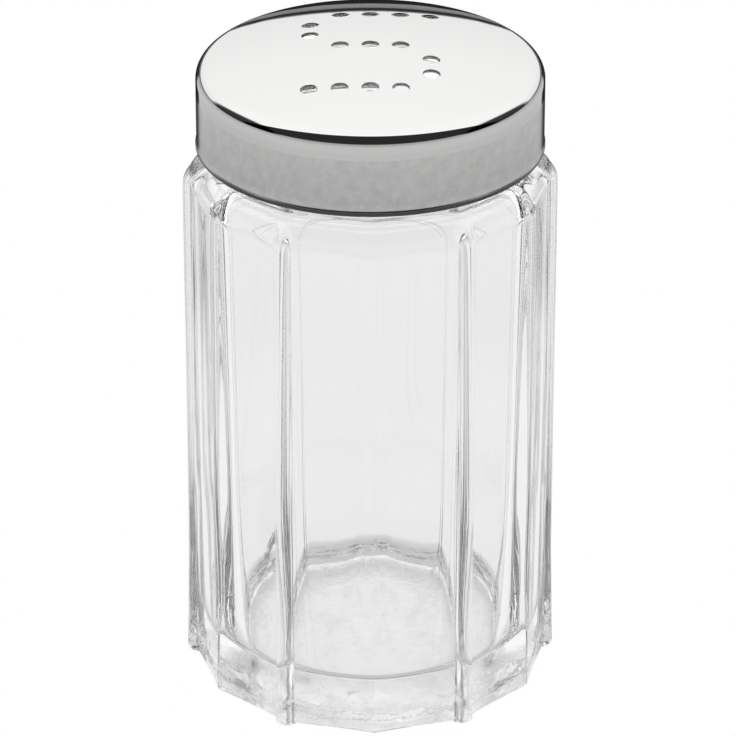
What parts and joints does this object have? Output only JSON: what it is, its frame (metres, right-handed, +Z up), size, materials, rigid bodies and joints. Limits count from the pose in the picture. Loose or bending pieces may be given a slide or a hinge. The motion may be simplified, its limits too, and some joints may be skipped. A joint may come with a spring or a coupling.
{
  "type": "salt shaker",
  "caption": "Clear glass salt shaker with a ribbed, faceted bottle and a crowned stainless steel screw cap pierced with pouring holes.",
  "frame": {"origin": "centre of the foot, on the surface that the shaker stands on", "axes": "+Z up along the axis of the bottle and cap, -Y towards the picture's viewer"},
  "size_m": [0.046, 0.0444, 0.0824],
  "materials": {
    "clear_glass": "fire-polished pressed glass",
    "stainless_steel": "polished crown, satin skirt",
    "insert_plastic": "moulded",
    "washer_rubber": "matt"
  },
  "bodies": {
    "bottle": {"glass_body": "clear_glass"},
    "washer": {"neck_washer": "washer_rubber"},
    "cap": {"cap_shell": "stainless_steel", "cap_insert": "insert_plastic"}
  },
  "joints": [
    {"name": "cap_lift", "type": "slide", "parent": "bottle", "child": "washer", "axis": [0, 0, 1], "range_m": [0, 0.008]},
    {"name": "cap_turn", "type": "hinge", "parent": "washer", "child": "cap", "pos_m": [0, 0, 0.0765], "axis": [0, 0, 1], "range_deg": [0, 900]}
  ],
  "couplings": [
    {"joint": "cap_lift", "follows": "cap_turn", "m_per_rad": 0.00050929}
  ]
}
